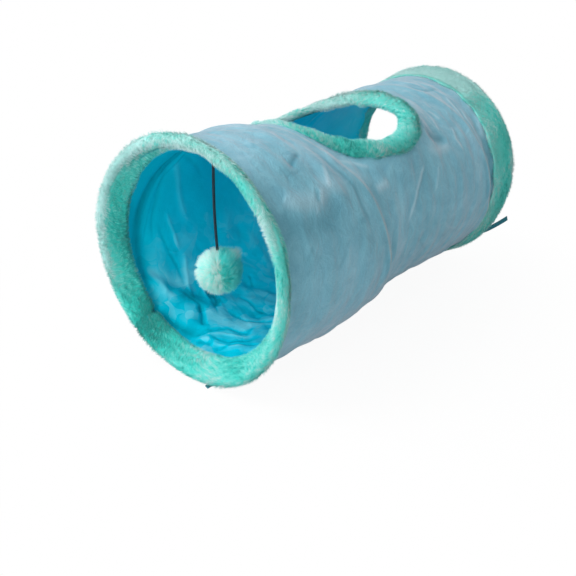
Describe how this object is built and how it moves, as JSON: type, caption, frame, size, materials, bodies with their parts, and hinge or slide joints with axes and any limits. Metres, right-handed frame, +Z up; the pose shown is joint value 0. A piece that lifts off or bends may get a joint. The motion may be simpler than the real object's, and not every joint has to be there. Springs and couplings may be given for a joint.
{
  "type": "cat tunnel",
  "caption": "Round collapsible cloth tunnel on a spring wire, with plush end rims, a bound peep hole on top and a fur ball hanging in its mouth.",
  "frame": {"origin": "on the ground under the middle of the tunnel", "axes": "+Y along the tunnel from the pompom's end to the other, +X to the right seen from the pompom's end, +Z up through the peep hole"},
  "size_m": [0.2598, 0.5476, 0.2579],
  "materials": {
    "cover_cloth": "suede-like, dusty blue",
    "film": "thin film",
    "lining_cloth": "satin, cyan",
    "spring_steel": "drawn",
    "tape": "woven",
    "plush": "short pile, mint",
    "cord": "braided elastic, dark",
    "ribbon": "woven, dark teal"
  },
  "bodies": {
    "front_end": {"front_rim": "plush", "front_crimp": "spring_steel", "front_tie": "ribbon", "outer_cover": "cover_cloth", "crinkle_film": "film", "lining": "lining_cloth", "spring_wire": "spring_steel", "wire_casing": "tape", "hole_rim": "plush"},
    "rear_end": {"rear_rim": "plush", "rear_crimp": "spring_steel", "rear_tie": "ribbon"},
    "pompom_mount": {"pompom_tab": "ribbon"},
    "pompom_eye": {"cord_eye": "cord"},
    "pompom_hang": {"eye_knot": "cord", "pompom_cord": "cord", "pompom": "plush", "end_knot": "cord"}
  },
  "joints": [
    {"name": "collapse", "type": "slide", "parent": "front_end", "child": "rear_end", "axis": [0, -1, 0], "range_m": [0, 0.4197], "deforming": ["outer_cover", "crinkle_film", "lining", "spring_wire", "wire_casing", "hole_rim"]},
    {"name": "pompom_shift", "type": "slide", "parent": "front_end", "child": "pompom_mount", "axis": [0, -1, 0], "range_m": [0, 0.0176]},
    {"name": "pompom_sway", "type": "hinge", "parent": "pompom_mount", "child": "pompom_eye", "pos_m": [0, -0.1995, 0.2365], "axis": [0, 1, 0], "range_deg": [-35, 35]},
    {"name": "pompom_swing", "type": "hinge", "parent": "pompom_eye", "child": "pompom_hang", "pos_m": [0, -0.1995, 0.2323], "axis": [1, 0, 0], "range_deg": [-30, 30]}
  ],
  "couplings": [
    {"joint": "pompom_shift", "follows": "collapse", "ratio": 0.0417}
  ]
}
